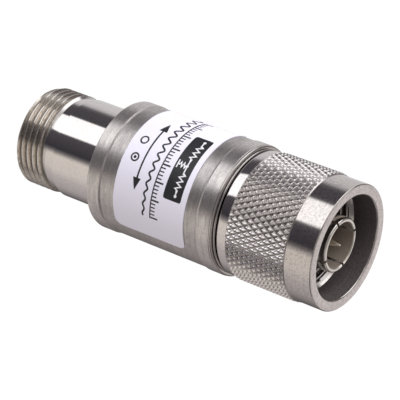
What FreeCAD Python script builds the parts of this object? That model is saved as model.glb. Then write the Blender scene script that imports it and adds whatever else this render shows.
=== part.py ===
import FreeCAD, Part
import math
import os

# Fixed coaxial attenuator: a threaded jack at one end and a plug with a knurled coupling nut at the other.
# All sizes are in millimetres and degrees. The axis is Z, and it stands at z = 0 on the jack's end face.
# Angles about the axis are measured from +X towards +Y. The side that faces -Y is the front.

# Fits and clearances, radial where a round piece sits in a round hole
screw_fit = 0.02
slip_fit = 0.03
running_fit = 0.07
ring_side_fit = 0.03
glue_line = 0.02
edge_break = 0.12

# Jack shell, outside
jack_thread_dia = 15.88
jack_thread_length = 5.6
jack_thread_chamfer = 0.45
jack_relief_depth = 0.34
jack_relief_length = 1.8
jack_relief_ramp = 0.2
neck_inset = 0.01
neck_length = 8.8
spigot_length = 4.5

# Jack shell, inside
jack_mouth_step = 0.25
jack_mouth_length = 3.8
jack_mouth_chamfer = 0.3
ferrule_squeeze = 0.14
jack_seat_taper = 0.9
jack_plane_depth = 9.1
line_bore_dia = 7.0

# Beads that hold the centre conductor, and the rings that hold the beads
bead_step = 1.1
bead_thickness = 2.5
bead_ring_length = 4.0
bead_ring_slot_width = 1.0
bead_ring_slot_depth = 0.8

# Centre conductor
conductor_dia = 3.04
stud_dia = 1.8
stud_engagement = 1.6
stud_hole_spare = 0.3
jack_contact_recess = 3.9
jack_contact_bore = 1.7
jack_contact_bore_depth = 5.5
jack_contact_slot_width = 0.3
jack_contact_slot_depth = 4.0
contact_slot_count = 4
contact_chamfer = 0.25
pin_dia = 1.65
pin_recess = 0.12
pin_shoulder_depth = 5.3
pin_cone_length = 1.1
pin_tip_dia = 0.4

# Body tube
body_length = 22.8
band_rise = 2.285
label_recess_depth = 0.16
jack_band_length = 2.3
plug_band_length = 2.3
band_ramp = 0.3
tube_wall_at_neck = 0.53

# Wrap label, about 26.5 mm by 13 mm
label_jack_margin = 2.55
label_plug_margin = 2.05
label_wrap = 151.0
label_centre = -107.0
label_thickness = 0.1
label_corner = 1.2

# Attenuator card and the split holder that grips its long edges
card_thickness = 0.635
card_grip = 1.0
card_end_gap = 0.9
card_pocket_fit = 0.01
contact_overlap = 1.2
contact_slot_spare = 0.3
spring_height = 1.0
spring_thickness = 0.4
spring_width = 1.85
spring_edge_gap = 0.25

# Plug shell
flange_inset = 0.045
flange_thickness = 0.36
flange_chamfer = 0.2
hub_inset = 0.525
hub_height = 0.34
hub_chamfer = 0.16
journal_margin = 0.28
journal_length = 4.82

# Slotted outer contact of the plug
ferrule_length = 10.6
ferrule_wall = 0.5
ferrule_lip_rise = 0.19
ferrule_lip_length = 1.8
ferrule_front_chamfer = 0.25
ferrule_bore_chamfer = 0.15
ferrule_slot_width = 0.42
ferrule_slot_depth = 7.4
ferrule_slot_count = 4
ferrule_slot_turn = 48.7
ferrule_root_step = 1.4
ferrule_root_height = 1.3
ferrule_spigot_length = 2.5

# Face gasket of the plug
gasket_width = 1.7
gasket_thickness = 1.6
gasket_gap = 0.05
gasket_chamfer = 0.3

# Snap ring that holds the coupling nut on the plug shell
snap_ring_height = 2.22
snap_ring_thickness = 1.1
snap_ring_inner_bite = 0.7
snap_ring_outer_bite = 0.5
snap_ring_groove_spare = 0.2
snap_ring_opening = 1.4
nut_float = 0.35

# Coupling nut
nut_gap = 0.2
nut_length = 16.42
collar_length = 1.72
collar_chamfer = 0.4
knurl_inset = 0.285
knurl_length = 10.27
knurl_count = 64
knurl_pitch = 1.71
knurl_depth = 0.3
front_band_inset = 0.26
front_band_chamfer = 0.2
nut_mouth_fit = 0.06
nut_mouth_length = 3.9
nut_mouth_chamfer = 0.25
nut_thread_depth = 0.59
nut_thread_length = 5.6
nut_thread_chamfer = 0.6
nut_relief_depth = 0.15
nut_relief_gap = 0.2

# Places along the axis that follow from the sizes
relief_z = jack_thread_length
neck_z = relief_z + jack_relief_length
body_z = neck_z + neck_length
body_end_z = body_z + body_length
jack_spigot_z = body_z + spigot_length
plug_spigot_z = body_end_z - spigot_length
jack_bead_z = jack_spigot_z - bead_ring_length - bead_thickness
plug_bead_z = plug_spigot_z + bead_ring_length
holder_z = jack_spigot_z
holder_end_z = plug_spigot_z - spring_height
card_z = holder_z + card_end_gap
card_end_z = holder_end_z - card_end_gap
flange_end_z = body_end_z + flange_thickness
hub_end_z = flange_end_z + hub_height
gasket_seat_z = hub_end_z + journal_length
ferrule_front_z = gasket_seat_z + ferrule_length
pin_shoulder_z = ferrule_front_z - pin_shoulder_depth
snap_ring_z = hub_end_z + snap_ring_height
nut_z = hub_end_z + nut_gap
nut_end_z = nut_z + nut_length

# Radii that follow from the jack's thread, from the outside in
jack_thread_r = jack_thread_dia / 2
band_r = jack_thread_r + band_rise
recess_r = band_r - label_recess_depth
flange_r = band_r - flange_inset
hub_r = band_r - hub_inset
collar_r = hub_r
knurl_r = band_r - knurl_inset
front_band_r = knurl_r - front_band_inset
neck_r = jack_thread_r - neck_inset
tube_bore_r = neck_r - tube_wall_at_neck
spigot_r = tube_bore_r - screw_fit

# Radii that follow from the bore of the coaxial line, and from its centre conductor
line_r = line_bore_dia / 2
bead_r = line_r + bead_step
pocket_r = bead_r + slip_fit
ferrule_root_r = line_r + ferrule_root_step
ferrule_waist_r = line_r + ferrule_wall
ferrule_lip_r = ferrule_waist_r + ferrule_lip_rise
jack_seat_r = ferrule_lip_r - ferrule_squeeze
jack_mouth_r = jack_seat_r + jack_mouth_step
gasket_bore_r = ferrule_root_r + gasket_gap
gasket_r = gasket_bore_r + gasket_width
journal_r = gasket_r + journal_margin
nut_bore_r = journal_r + running_fit
snap_ring_inner_r = journal_r - snap_ring_inner_bite
snap_ring_outer_r = nut_bore_r + snap_ring_outer_bite
conductor_r = conductor_dia / 2
stud_r = stud_dia / 2

# Every cutter reaches past the material by this much, so that no skin is left
overshoot = 1.0


def turned(corners):
    """A solid of revolution about the axis from the (r, z) corners of half of its section."""
    points = [FreeCAD.Vector(radius, 0, height) for radius, height in corners]
    half_section = Part.Face(Part.makePolygon(points + points[:1]))
    return half_section.revolve(FreeCAD.Vector(0, 0, 0), FreeCAD.Vector(0, 0, 1), 360)


def cylinder(radius, low_z, high_z):
    """A plain round bar on the axis."""
    return Part.makeCylinder(radius, high_z - low_z, FreeCAD.Vector(0, 0, low_z))


def tube(outer_r, inner_r, low_z, high_z):
    """A plain round tube on the axis."""
    return turned([(inner_r, low_z), (outer_r, low_z), (outer_r, high_z), (inner_r, high_z)])


def block(width, depth, low_z, high_z, x=0.0, y=0.0):
    """A block centred on (x, y), from one height to another."""
    corner = FreeCAD.Vector(x - width / 2, y - depth / 2, low_z)
    return Part.makeBox(width, depth, high_z - low_z, corner)


def about_axis(shape, angle):
    """A copy of a shape turned about the axis."""
    copy = shape.copy()
    copy.rotate(FreeCAD.Vector(0, 0, 0), FreeCAD.Vector(0, 0, 1), angle)
    return copy


def radial_slots(count, width, reach, low_z, high_z, turn):
    """Saw cuts from the axis outwards, evenly spaced round it."""
    cut = block(reach, width, low_z, high_z, x=reach / 2)
    return [about_axis(cut, turn + index * 360 / count) for index in range(count)]


def facet(*corners):
    """A flat face between three or more corners."""
    return Part.Face(Part.makePolygon([*corners, corners[0]]))


def diamond_grip(low_z, high_z):
    """Knurled bar: round each ring of points every second one stands out, and the next ring swaps them."""
    row_count = 2 * max(1, round((high_z - low_z) / knurl_pitch))
    row_height = (high_z - low_z) / row_count
    step_count = 2 * knurl_count
    rings = []
    for row in range(row_count + 1):
        ring = []
        for step in range(step_count):
            crest = (step + row) % 2 == 1 and 0 < row < row_count
            radius = knurl_r if crest else knurl_r - knurl_depth
            turn = 2 * math.pi * step / step_count
            height = low_z + row * row_height
            ring.append(FreeCAD.Vector(radius * math.cos(turn), radius * math.sin(turn), height))
        rings.append(ring + ring[:1])
    facets = [facet(*rings[0][:-1]), facet(*rings[-1][:-1])]
    for row in range(row_count):
        lower = rings[row]
        upper = rings[row + 1]
        for step in range(step_count):
            if (step + row) % 2 == 1:
                facets.append(facet(lower[step], lower[step + 1], upper[step]))
                facets.append(facet(lower[step + 1], upper[step + 1], upper[step]))
            else:
                facets.append(facet(lower[step], lower[step + 1], upper[step + 1]))
                facets.append(facet(lower[step], upper[step + 1], upper[step]))
    return Part.Solid(Part.Shell(facets))


# Outer pieces

def body_tube():
    """Tube with a raised band at each end, bored straight through; the connectors screw into its ends."""
    jack_band_z = body_z + jack_band_length
    plug_band_z = body_end_z - plug_band_length
    return turned([
        (tube_bore_r, body_z),
        (band_r - edge_break, body_z),
        (band_r, body_z + edge_break),
        (band_r, jack_band_z),
        (recess_r, jack_band_z + band_ramp),
        (recess_r, plug_band_z - band_ramp),
        (band_r, plug_band_z),
        (band_r, body_end_z - edge_break),
        (band_r - edge_break, body_end_z),
        (tube_bore_r, body_end_z),
    ])


def label():
    """Thin wrap label with rounded corners, bedded in the shallow recess round the tube."""
    inner_r = recess_r + glue_line
    outer_r = inner_r + label_thickness
    low_z = body_z + jack_band_length + band_ramp + label_jack_margin
    high_z = body_end_z - plug_band_length - band_ramp - label_plug_margin
    sleeve = tube(outer_r, inner_r, low_z, high_z)
    wedge = Part.makeCylinder(outer_r + overshoot, high_z - low_z, FreeCAD.Vector(0, 0, low_z),
                              FreeCAD.Vector(0, 0, 1), label_wrap)
    wedge = about_axis(wedge, label_centre - label_wrap / 2)
    sheet = sleeve.common(wedge)
    corner_turn = math.degrees(label_corner / outer_r)
    for end in (-1, 1):
        angle = label_centre + end * (label_wrap / 2 - corner_turn)
        for corner_z, side in ((low_z + label_corner, -1), (high_z - label_corner, 1)):
            reach = Part.makeBox(2 * outer_r, 2 * label_corner, 2 * label_corner,
                                 FreeCAD.Vector(0, min(0, end) * 2 * label_corner,
                                                corner_z + min(0, side) * 2 * label_corner))
            rounding = Part.makeCylinder(label_corner, 2 * outer_r, FreeCAD.Vector(0, 0, corner_z),
                                         FreeCAD.Vector(1, 0, 0))
            sheet = sheet.cut(about_axis(reach.cut(rounding), angle))
    return sheet


# Jack end

def jack_shell():
    """Outer conductor of the jack: threaded end, relief, polished neck, and spigot screwed into the tube."""
    relief_r = jack_thread_r - jack_relief_depth
    return turned([
        (jack_mouth_r + jack_mouth_chamfer, 0),
        (jack_thread_r - jack_thread_chamfer, 0),
        (jack_thread_r, jack_thread_chamfer),
        (jack_thread_r, relief_z - jack_relief_ramp),
        (relief_r, relief_z),
        (relief_r, neck_z),
        (neck_r - edge_break, neck_z),
        (neck_r, neck_z + edge_break),
        (neck_r, body_z),
        (spigot_r, body_z),
        (spigot_r, jack_spigot_z),
        (pocket_r, jack_spigot_z),
        (pocket_r, jack_bead_z),
        (line_r, jack_bead_z),
        (line_r, jack_plane_depth),
        (jack_seat_r, jack_plane_depth),
        (jack_seat_r, jack_mouth_length + jack_seat_taper),
        (jack_mouth_r, jack_mouth_length),
        (jack_mouth_r, jack_mouth_chamfer),
    ])


def jack_contact():
    """Socket contact with slotted fingers, and a stud at its foot that passes through the bead."""
    tip_z = jack_contact_recess
    hole_r = jack_contact_bore / 2
    stud_end_z = jack_bead_z + bead_thickness + stud_engagement
    contact = turned([
        (hole_r + contact_chamfer, tip_z),
        (conductor_r - contact_chamfer, tip_z),
        (conductor_r, tip_z + contact_chamfer),
        (conductor_r, jack_bead_z),
        (stud_r, jack_bead_z),
        (stud_r, stud_end_z - contact_chamfer),
        (stud_r - contact_chamfer, stud_end_z),
        (0, stud_end_z),
        (0, tip_z + jack_contact_bore_depth + hole_r),
        (hole_r, tip_z + jack_contact_bore_depth),
        (hole_r, tip_z + contact_chamfer),
    ])
    slots = radial_slots(contact_slot_count, jack_contact_slot_width, conductor_r + overshoot,
                         tip_z - overshoot, tip_z + jack_contact_slot_depth, 180 / contact_slot_count)
    return contact.cut(slots)


def bead(low_z):
    """Insulating bead between the outer conductor and the stud of the centre conductor."""
    return tube(bead_r, stud_r + slip_fit, low_z, low_z + bead_thickness)


def bead_ring(low_z, slot_end):
    """Ring screwed in behind a bead; a screwdriver slot crosses the face that it is driven by."""
    high_z = low_z + bead_ring_length
    ring = tube(bead_r, line_r, low_z, high_z)
    slot_low_z = high_z - bead_ring_slot_depth if slot_end > 0 else low_z - overshoot
    slot_high_z = high_z + overshoot if slot_end > 0 else low_z + bead_ring_slot_depth
    return ring.cut(block(2 * band_r, bead_ring_slot_width, slot_low_z, slot_high_z))


def bullet(bead_face_z, card_face_z):
    """Centre conductor from a bead to the card: a stud hole at the bead, a slot that grips the card."""
    inward = 1 if card_face_z > bead_face_z else -1
    tip_z = card_face_z + inward * contact_overlap
    hole_end_z = bead_face_z + inward * (stud_engagement + stud_hole_spare)
    bar = turned([
        (stud_r + slip_fit, bead_face_z),
        (conductor_r, bead_face_z),
        (conductor_r, tip_z - inward * contact_chamfer),
        (conductor_r - contact_chamfer, tip_z),
        (0, tip_z),
        (0, hole_end_z),
        (stud_r + slip_fit, hole_end_z),
    ])
    slot_ends = sorted((card_face_z - inward * contact_slot_spare, tip_z + inward * overshoot))
    slot_width = card_thickness + 2 * card_pocket_fit
    return bar.cut(block(2 * conductor_dia, slot_width, slot_ends[0], slot_ends[1]))


# Attenuating section in the middle of the tube

def attenuator_card():
    """Ceramic card that carries the resistive film."""
    card_width = line_bore_dia + 2 * card_grip
    return block(card_width, card_thickness, card_z, card_end_z)


def card_holder(side):
    """Half of the split cylinder that fills the bore; each half has a channel and a ledge for the card."""
    holder_r = tube_bore_r - slip_fit
    half = cylinder(holder_r, holder_z, holder_end_z)
    channel = cylinder(line_r, holder_z - overshoot, holder_end_z + overshoot)
    pocket_width = line_bore_dia + 2 * (card_grip + slip_fit)
    pocket_depth = card_thickness + 2 * card_pocket_fit
    pocket = block(pocket_width, pocket_depth, card_z - slip_fit, card_end_z + slip_fit)
    far_half = block(4 * tube_bore_r, 2 * tube_bore_r, holder_z - overshoot, holder_end_z + overshoot,
                     y=-side * tube_bore_r)
    return half.cut([channel, pocket, far_half])


def stack_spring():
    """Conical spring washer that presses the holder against the jack's spigot."""
    outer_r = tube_bore_r - spring_edge_gap
    inner_r = outer_r - spring_width
    top_z = holder_end_z + spring_height
    return turned([
        (outer_r, holder_end_z),
        (outer_r, holder_end_z + spring_thickness),
        (inner_r, top_z),
        (inner_r, top_z - spring_thickness),
    ])


# Plug end

def plug_shell():
    """Body of the plug: spigot, stepped flange against the tube, and the journal that the nut turns on."""
    ring_floor_r = snap_ring_inner_r - snap_ring_groove_spare
    ring_low_z = snap_ring_z - ring_side_fit
    ring_high_z = snap_ring_z + snap_ring_thickness + nut_float + ring_side_fit
    ferrule_hole_r = ferrule_root_r + screw_fit
    ferrule_foot_z = gasket_seat_z - ferrule_spigot_length
    bead_stop_z = plug_bead_z + bead_thickness
    return turned([
        (pocket_r, plug_spigot_z),
        (spigot_r, plug_spigot_z),
        (spigot_r, body_end_z),
        (flange_r - edge_break, body_end_z),
        (flange_r, body_end_z + edge_break),
        (flange_r, flange_end_z - flange_chamfer),
        (flange_r - flange_chamfer, flange_end_z),
        (hub_r, flange_end_z),
        (hub_r, hub_end_z - hub_chamfer),
        (hub_r - hub_chamfer, hub_end_z),
        (journal_r, hub_end_z),
        (journal_r, ring_low_z),
        (ring_floor_r, ring_low_z),
        (ring_floor_r, ring_high_z),
        (journal_r, ring_high_z),
        (journal_r, gasket_seat_z),
        (ferrule_hole_r, gasket_seat_z),
        (ferrule_hole_r, ferrule_foot_z),
        (line_r, ferrule_foot_z),
        (line_r, bead_stop_z),
        (pocket_r, bead_stop_z),
    ])


def plug_ferrule():
    """Slotted outer contact, screwed into the plug shell; its springy fingers enter the mating jack."""
    foot_z = gasket_seat_z - ferrule_spigot_length
    root_z = gasket_seat_z + ferrule_root_height
    lip_z = ferrule_front_z - ferrule_lip_length
    bore_edge_r = line_r + ferrule_bore_chamfer
    ferrule = turned([
        (line_r, foot_z),
        (ferrule_root_r, foot_z),
        (ferrule_root_r, root_z),
        (ferrule_waist_r, root_z),
        (ferrule_waist_r, lip_z - ferrule_lip_rise),
        (ferrule_lip_r, lip_z),
        (ferrule_lip_r, ferrule_front_z - ferrule_front_chamfer),
        (ferrule_lip_r - ferrule_front_chamfer, ferrule_front_z),
        (bore_edge_r, ferrule_front_z),
        (line_r, ferrule_front_z - ferrule_bore_chamfer),
    ])
    slot_low_z = ferrule_front_z - ferrule_slot_depth
    slots = radial_slots(ferrule_slot_count, ferrule_slot_width, ferrule_root_r, slot_low_z,
                         ferrule_front_z + overshoot, ferrule_slot_turn)
    return ferrule.cut(slots)


def plug_pin():
    """Pin contact with a tapered point, a shoulder, and a stud at its foot that passes through the bead."""
    pin_r = pin_dia / 2
    tip_r = pin_tip_dia / 2
    tip_z = ferrule_front_z - pin_recess
    bead_face_z = plug_bead_z + bead_thickness
    stud_end_z = plug_bead_z - stud_engagement
    return turned([
        (0, stud_end_z),
        (stud_r - contact_chamfer, stud_end_z),
        (stud_r, stud_end_z + contact_chamfer),
        (stud_r, bead_face_z),
        (conductor_r, bead_face_z),
        (conductor_r, pin_shoulder_z - edge_break),
        (conductor_r - edge_break, pin_shoulder_z),
        (pin_r, pin_shoulder_z),
        (pin_r, tip_z - pin_cone_length),
        (tip_r, tip_z),
        (0, tip_z),
    ])


def gasket():
    """Silicone ring at the foot of the ferrule, which the mating jack's end face presses on."""
    top_z = gasket_seat_z + gasket_thickness
    return turned([
        (gasket_bore_r, gasket_seat_z),
        (gasket_r, gasket_seat_z),
        (gasket_r, top_z - gasket_chamfer),
        (gasket_r - gasket_chamfer, top_z),
        (gasket_bore_r, top_z),
    ])


# Coupling nut and the ring that it runs on

def nut_ring():
    """Open snap ring, half in the plug shell's groove and half in the nut's."""
    low_z = snap_ring_z
    high_z = low_z + snap_ring_thickness
    ring = tube(snap_ring_outer_r, snap_ring_inner_r, low_z, high_z)
    opening = block(2 * tube_bore_r, snap_ring_opening, low_z - overshoot, high_z + overshoot,
                    x=tube_bore_r)
    return ring.cut(opening)


def coupling_nut():
    """Coupling nut: smooth collar, knurled grip, smooth front band, and the thread and bore inside it."""
    knurl_z = nut_z + collar_length
    knurl_end_z = knurl_z + knurl_length
    ring_floor_r = snap_ring_outer_r + snap_ring_groove_spare
    ring_low_z = snap_ring_z - ring_side_fit
    ring_high_z = snap_ring_z + snap_ring_thickness + ring_side_fit
    relief_r = jack_thread_r + nut_relief_depth
    minor_r = jack_thread_r - nut_thread_depth
    mouth_r = jack_thread_r + nut_mouth_fit
    relief_low_z = gasket_seat_z + nut_relief_gap
    thread_end_z = nut_end_z - nut_mouth_length
    thread_z = thread_end_z - nut_thread_length
    collar = turned([
        (0, nut_z),
        (collar_r - collar_chamfer, nut_z),
        (collar_r, nut_z + collar_chamfer),
        (collar_r, knurl_z),
        (0, knurl_z),
    ])
    front_band = turned([
        (0, knurl_end_z),
        (front_band_r, knurl_end_z),
        (front_band_r, nut_end_z - front_band_chamfer),
        (front_band_r - front_band_chamfer, nut_end_z),
        (0, nut_end_z),
    ])
    bore = turned([
        (0, nut_z - overshoot),
        (nut_bore_r, nut_z - overshoot),
        (nut_bore_r, ring_low_z),
        (ring_floor_r, ring_low_z),
        (ring_floor_r, ring_high_z),
        (nut_bore_r, ring_high_z),
        (nut_bore_r, relief_low_z),
        (relief_r, relief_low_z),
        (relief_r, thread_z),
        (minor_r, thread_z + nut_thread_chamfer),
        (minor_r, thread_end_z - nut_thread_chamfer),
        (minor_r + nut_thread_chamfer, thread_end_z),
        (mouth_r, thread_end_z),
        (mouth_r, nut_end_z - nut_mouth_chamfer),
        (mouth_r + nut_mouth_chamfer, nut_end_z),
        (mouth_r + nut_mouth_chamfer, nut_end_z + overshoot),
        (0, nut_end_z + overshoot),
    ])
    return diamond_grip(knurl_z, knurl_end_z).fuse([collar, front_band]).cut(bore)


pieces = {
    "body_tube": body_tube(),
    "label": label(),
    "jack_shell": jack_shell(),
    "jack_contact": jack_contact(),
    "jack_bead": bead(jack_bead_z),
    "jack_bead_ring": bead_ring(jack_bead_z + bead_thickness, 1),
    "jack_bullet": bullet(jack_bead_z + bead_thickness, card_z),
    "attenuator_card": attenuator_card(),
    "card_holder_front": card_holder(-1),
    "card_holder_rear": card_holder(1),
    "stack_spring": stack_spring(),
    "plug_bullet": bullet(plug_bead_z, card_end_z),
    "plug_bead": bead(plug_bead_z),
    "plug_bead_ring": bead_ring(plug_spigot_z, -1),
    "plug_pin": plug_pin(),
    "plug_shell": plug_shell(),
    "plug_ferrule": plug_ferrule(),
    "gasket": gasket(),
    "nut_ring": nut_ring(),
    "coupling_nut": coupling_nut(),
}

os.makedirs("parts", exist_ok=True)
for name, shape in pieces.items():
    shape.exportStep("parts/" + name + ".step")
    print(name, len(shape.Solids), round(shape.Volume, 2), shape.isValid())
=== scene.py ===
"""Looks of a fixed coaxial attenuator, built round its packed CAD frame.

The axis is Z and the jack's end face is at z = 0. Lengths are in millimetres in the code, but in metres in the
properties and on the stage. A turn of the label or of the walls is measured from the front, -Y, towards +X.
"""

import math
from collections import namedtuple
from types import SimpleNamespace

import bmesh
import bpy
from bpy.props import FloatProperty, FloatVectorProperty, IntProperty, PointerProperty
from mathutils import Matrix, Quaternion, Vector


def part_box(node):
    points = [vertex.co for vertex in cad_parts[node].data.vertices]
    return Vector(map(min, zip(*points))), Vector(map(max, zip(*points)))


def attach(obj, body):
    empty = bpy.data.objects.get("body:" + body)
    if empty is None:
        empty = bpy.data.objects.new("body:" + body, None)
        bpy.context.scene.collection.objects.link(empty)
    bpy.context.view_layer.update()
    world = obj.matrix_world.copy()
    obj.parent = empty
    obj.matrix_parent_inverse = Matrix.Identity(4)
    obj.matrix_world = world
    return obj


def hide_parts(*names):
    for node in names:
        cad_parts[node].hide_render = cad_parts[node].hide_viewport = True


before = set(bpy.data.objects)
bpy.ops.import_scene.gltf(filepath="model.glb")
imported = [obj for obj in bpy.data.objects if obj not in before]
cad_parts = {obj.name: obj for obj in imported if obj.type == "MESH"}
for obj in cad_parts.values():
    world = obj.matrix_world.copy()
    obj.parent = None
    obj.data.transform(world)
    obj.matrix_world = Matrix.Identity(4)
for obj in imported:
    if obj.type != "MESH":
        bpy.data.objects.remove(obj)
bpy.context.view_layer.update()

bl_info = {
    "name": "Coaxial Attenuator",
    "version": (1, 0, 0),
    "blender": (4, 5, 0),
    "location": "View3D > Sidebar > Attenuator",
    "description": "Turned, knurled and printed pieces of a fixed coaxial attenuator on its CAD frame",
    "category": "Add Mesh",
}

MM = 0.001
FULL_TURN = 2 * math.pi
TENT_RADIUS = 4.0  # In metres; the camera stays inside it.
PREFIX = "attenuator_"  # What the names of the property groups on the scene start with.


# Properties

def number(value, description, kind=FloatProperty, **settings):
    """A plain number that the user can set, with any other settings of its property."""
    return {"kind": kind, "default": value, "description": description, "min": 0, **settings}


def share(value, description):
    """A factor that is mostly between 0 and 1."""
    return number(value, description, soft_max=1.0, precision=3)


def length(millimetres, description):
    """A length that the user can set; its default is given in millimetres."""
    return number(millimetres * MM, description, unit="LENGTH", subtype="DISTANCE", precision=5)


def angle(degrees, description):
    """An angle that the user can set; its default is given in degrees."""
    return number(math.radians(degrees), description, min=-FULL_TURN, unit="ROTATION", subtype="ANGLE")


def colour(red, green, blue, what):
    """A linear colour that the user can set, and what it is the colour of."""
    return number((red, green, blue), "Colour of " + what, FloatVectorProperty, size=3, max=1.0, subtype="COLOR")


def spot(x, y, z, description):
    """A point that the user can set, in metres."""
    return number((x, y, z), description, FloatVectorProperty, size=3, min=-TENT_RADIUS, unit="LENGTH",
                  subtype="TRANSLATION")


def labelled(group):
    """Make the properties of a group from what the helpers give, each with its identifier as its label."""
    for identifier, settings in group.__annotations__.items():
        kind = settings.pop("kind")
        group.__annotations__[identifier] = kind(name=identifier.replace("_", " ").capitalize(), **settings)
    return group


@labelled
class TubeSizes(bpy.types.PropertyGroup):
    """Sizes of the body tube"""

    band: length(10.22, "Radius of the raised band at each end")
    recess: length(0.155, "How far the wall between the bands is turned down")
    band_length: length(2.3, "Length of each raised band")
    ramp: length(0.3, "Length of the slope from a band down to the recess")
    bore: length(7.4, "Radius of the straight bore")
    edge: length(0.12, "Round on the outer edges")


@labelled
class LabelSizes(bpy.types.PropertyGroup):
    """Sizes of the wrap label and its print"""

    wrap: angle(151.0, "How far the label reaches round the tube")
    centre: angle(-17.0, "Turn of the label's middle from the front")
    corner: length(1.2, "Round of the label's corners")
    glue: length(0.02, "Gap between the tube and the film")
    film: length(0.1, "Thickness of the film")
    ink: length(0.012, "Height of the print above the film")
    stroke: length(0.26, "Width of the printed lines")


@labelled
class JackSizes(bpy.types.PropertyGroup):
    """Sizes of the threaded jack"""

    thread: length(7.94, "Radius over the crests of the thread")
    thread_length: length(5.6, "Length of the threaded end")
    thread_chamfer: length(0.45, "Chamfer at the start of the thread")
    pitch: length(1.0583, "Pitch of both threads")
    thread_depth: length(0.6, "Depth from crest to root of both threads")
    relief_depth: length(0.34, "Depth of the relief behind the thread")
    relief_length: length(1.8, "Length of the relief behind the thread")
    relief_ramp: length(0.42, "Length of the slope from the thread to the relief")
    neck: length(7.93, "Radius of the polished neck")
    neck_edge: length(0.12, "Chamfer where the neck starts")
    spigot: length(7.38, "Radius of the spigot in the tube")
    mouth: length(4.3, "Radius of the bore at the end face")
    mouth_length: length(3.8, "Depth of the mouth")
    mouth_chamfer: length(0.3, "Chamfer of the bore at the end face")
    seat: length(4.05, "Radius that the ferrule of the other half grips")
    seat_taper: length(0.9, "Length of the cone from the mouth to the seat")
    plane: length(9.1, "Depth of the step that the ferrule stops at")
    line: length(3.5, "Bore radius of the coaxial line")
    pocket: length(4.63, "Radius of the pocket of the bead")
    pocket_depth: length(14.2, "Depth of the bead's pocket from the end face")


@labelled
class ContactSizes(bpy.types.PropertyGroup):
    """Sizes of the centre contacts"""

    body: length(1.52, "Radius of the centre conductor")
    stud: length(0.9, "Radius of the stud in the bead")
    chamfer: length(0.25, "Chamfer of the conductor's ends")
    hole: length(0.85, "Bore radius of the socket")
    hole_depth: length(5.5, "Depth of the socket")
    slot_width: length(0.3, "Width of the socket's slots")
    slot_depth: length(4.0, "Depth of the socket's slots")
    pin: length(0.825, "Radius of the pin")
    pin_tip: length(0.14, "Radius of the pin's tip")
    pin_cone: length(2.5, "Length of the pin's point")
    pin_shoulder: length(49.82, "Height of the shoulder where the pin starts")
    socket_foot: length(14.2, "Height of the socket's foot at its bead")
    pin_foot: length(41.0, "Height of the pin's foot at its bead")


@labelled
class PlugSizes(bpy.types.PropertyGroup):
    """Sizes of the plug shell and its gasket"""

    flange: length(10.18, "Radius of the flange against the tube")
    flange_length: length(0.36, "Thickness of the flange")
    flange_chamfer: length(0.28, "Round of the flange's front edge")
    groove: length(9.5, "Radius of the fine groove in front of the flange")
    groove_width: length(0.09, "Width of the fine groove")
    hub: length(9.7, "Radius of the hub that faces the nut")
    hub_top: length(0.7, "Height of the hub's face above the tube")
    hub_chamfer: length(0.2, "Round of the hub's edge")
    journal: length(6.93, "Radius that the nut turns on")
    ring_floor: length(6.03, "Radius of the snap ring's groove")
    ring_low: length(41.89, "Height of the groove's lower wall")
    ring_high: length(43.4, "Height of the groove's upper wall")
    gasket: length(6.65, "Outer radius of the face gasket")
    gasket_bore: length(4.95, "Inner radius of the face gasket")
    gasket_round: length(0.3, "Round of the gasket's outer edge")


@labelled
class FerruleSizes(bpy.types.PropertyGroup):
    """Sizes of the slotted outer contact"""

    bore: length(3.5, "Bore radius")
    root: length(4.9, "Radius of the root in the shell")
    root_top: length(45.82, "Height where the root ends")
    waist: length(4.0, "Outer radius of the fingers")
    lip: length(4.19, "Outer radius of the lip")
    lip_length: length(1.8, "Length of the lip")
    front_round: length(0.33, "Round of the lip's front edge")
    bore_chamfer: length(0.15, "Chamfer of the bore's front edge")
    slot_width: length(0.42, "Width of the slots")
    slot_depth: length(7.4, "Depth of the slots")
    slot_turn: angle(48.7, "Turn of the first slot from +X")


@labelled
class NutSizes(bpy.types.PropertyGroup):
    """Sizes of the coupling nut"""

    collar: length(9.7, "Radius of the smooth collar")
    collar_length: length(1.72, "Length of the smooth collar")
    collar_round: length(0.38, "Round of the collar's rear edge")
    knurl: length(9.94, "Radius over the points of the knurl")
    knurl_length: length(10.0, "Length of the knurled grip")
    knurl_depth: length(0.3, "Depth of the knurl's grooves")
    knurl_pitch: length(1.71, "Distance between grooves along the axis")
    knurl_starts: number(64, "Grooves of the knurl in each direction", IntProperty, min=8)
    rear_chamfer: length(0.2, "Chamfer at the knurl's rear end")
    front_chamfer: length(0.27, "Chamfer at the knurl's front end")
    end_ring: length(0.14, "Length of the cone between the knurl and the front band")
    front: length(9.68, "Radius of the smooth front band")
    front_edge: length(0.2, "Round of the front band's outer edge")
    mouth: length(8.0, "Radius of the smooth mouth")
    mouth_length: length(4.15, "Length of the smooth mouth")
    mouth_chamfer: length(0.25, "Chamfer of the mouth")
    minor: length(7.35, "Radius over the inner crests of the thread")
    thread_length: length(5.6, "Length of the inner thread")
    thread_chamfer: length(0.65, "Chamfer at the ends of the inner thread")
    relief: length(8.09, "Radius of the relief behind the thread")
    relief_low: length(44.72, "Height where the relief starts")
    bore: length(7.0, "Radius of the bore that turns on the journal")
    ring_floor: length(7.7, "Radius of the snap ring's groove")
    ring_low: length(41.89, "Height of the groove's lower wall")
    ring_high: length(43.05, "Height of the groove's upper wall")


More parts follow.
